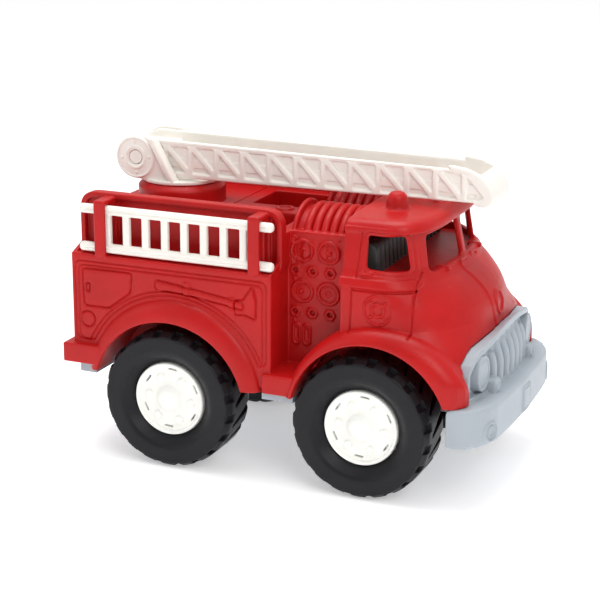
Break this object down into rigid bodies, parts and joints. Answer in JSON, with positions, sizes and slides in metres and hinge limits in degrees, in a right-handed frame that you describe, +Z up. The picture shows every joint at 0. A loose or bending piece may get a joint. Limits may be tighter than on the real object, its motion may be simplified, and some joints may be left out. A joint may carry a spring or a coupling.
{
  "type": "toy fire engine",
  "caption": "Moulded toy fire engine with a swivelling, lifting ladder boom, slide-out side ladders, rolling wheels, an open cab and a flat underside.",
  "frame": {"origin": "on the floor under the middle of the bounding box, with the boom folded forward", "axes": "+X forward towards the bumper, +Y to the vehicle's left, +Z up"},
  "size_m": [0.264, 0.1544, 0.1859],
  "materials": {
    "shell_red": "moulded red plastic, satin with a fine grain",
    "chassis_grey": "moulded grey plastic, satin",
    "bumper_grey": "moulded grey plastic, satin",
    "seat_grey": "moulded grey plastic, satin",
    "dash_grey": "moulded grey plastic, satin",
    "turntable_white": "moulded off-white plastic, satin",
    "retainer_white": "moulded off-white plastic, satin",
    "boom_white": "moulded off-white plastic, satin",
    "pin_white": "moulded off-white plastic, satin",
    "side_ladder_white_left": "moulded off-white plastic, satin",
    "side_ladder_white_right": "moulded off-white plastic, satin",
    "tyre_front_left": "moulded black plastic, matt",
    "hub_front_left": "moulded white plastic, satin",
    "tyre_front_right": "moulded black plastic, matt",
    "hub_front_right": "moulded white plastic, satin",
    "front_axle_grey": "grey plastic rod, satin",
    "tyre_rear_left": "moulded black plastic, matt",
    "hub_rear_left": "moulded white plastic, satin",
    "tyre_rear_right": "moulded black plastic, matt",
    "hub_rear_right": "moulded white plastic, satin",
    "rear_axle_grey": "grey plastic rod, satin"
  },
  "bodies": {
    "body": {"body_shell": "shell_red", "chassis": "chassis_grey", "front_bumper": "bumper_grey", "cab_seat": "seat_grey", "dashboard": "dash_grey"},
    "turntable": {"turntable": "turntable_white", "turntable_retainer": "retainer_white", "ladder_pivot_pin": "pin_white"},
    "boom": {"boom_ladder": "boom_white"},
    "side_ladder_right": {"side_ladder_right": "side_ladder_white_right"},
    "side_ladder_left": {"side_ladder_left": "side_ladder_white_left"},
    "front_wheels": {"front_axle": "front_axle_grey", "hub_front_left": "hub_front_left", "hub_front_right": "hub_front_right", "tyre_front_left": "tyre_front_left", "tyre_front_right": "tyre_front_right"},
    "rear_wheels": {"rear_axle": "rear_axle_grey", "hub_rear_left": "hub_rear_left", "hub_rear_right": "hub_rear_right", "tyre_rear_left": "tyre_rear_left", "tyre_rear_right": "tyre_rear_right"}
  },
  "joints": [
    {"name": "turntable_yaw", "type": "hinge", "parent": "body", "child": "turntable", "pos_m": [-0.0901, 0, 0.155], "axis": [0, 0, 1], "continuous": true},
    {"name": "boom_pitch", "type": "hinge", "parent": "turntable", "child": "boom", "pos_m": [-0.1109, 0, 0.173], "axis": [0, -1, 0], "range_deg": [0, 75]},
    {"name": "side_ladder_right_slide", "type": "slide", "parent": "body", "child": "side_ladder_right", "axis": [-1, 0, 0], "range_m": [0, 0.14]},
    {"name": "side_ladder_left_slide", "type": "slide", "parent": "body", "child": "side_ladder_left", "axis": [-1, 0, 0], "range_m": [0, 0.14]},
    {"name": "front_axle_spin", "type": "hinge", "parent": "body", "child": "front_wheels", "pos_m": [0.056, 0, 0.0414], "axis": [0, 1, 0], "continuous": true},
    {"name": "rear_axle_spin", "type": "hinge", "parent": "body", "child": "rear_wheels", "pos_m": [-0.0646, 0, 0.0414], "axis": [0, 1, 0], "continuous": true}
  ]
}
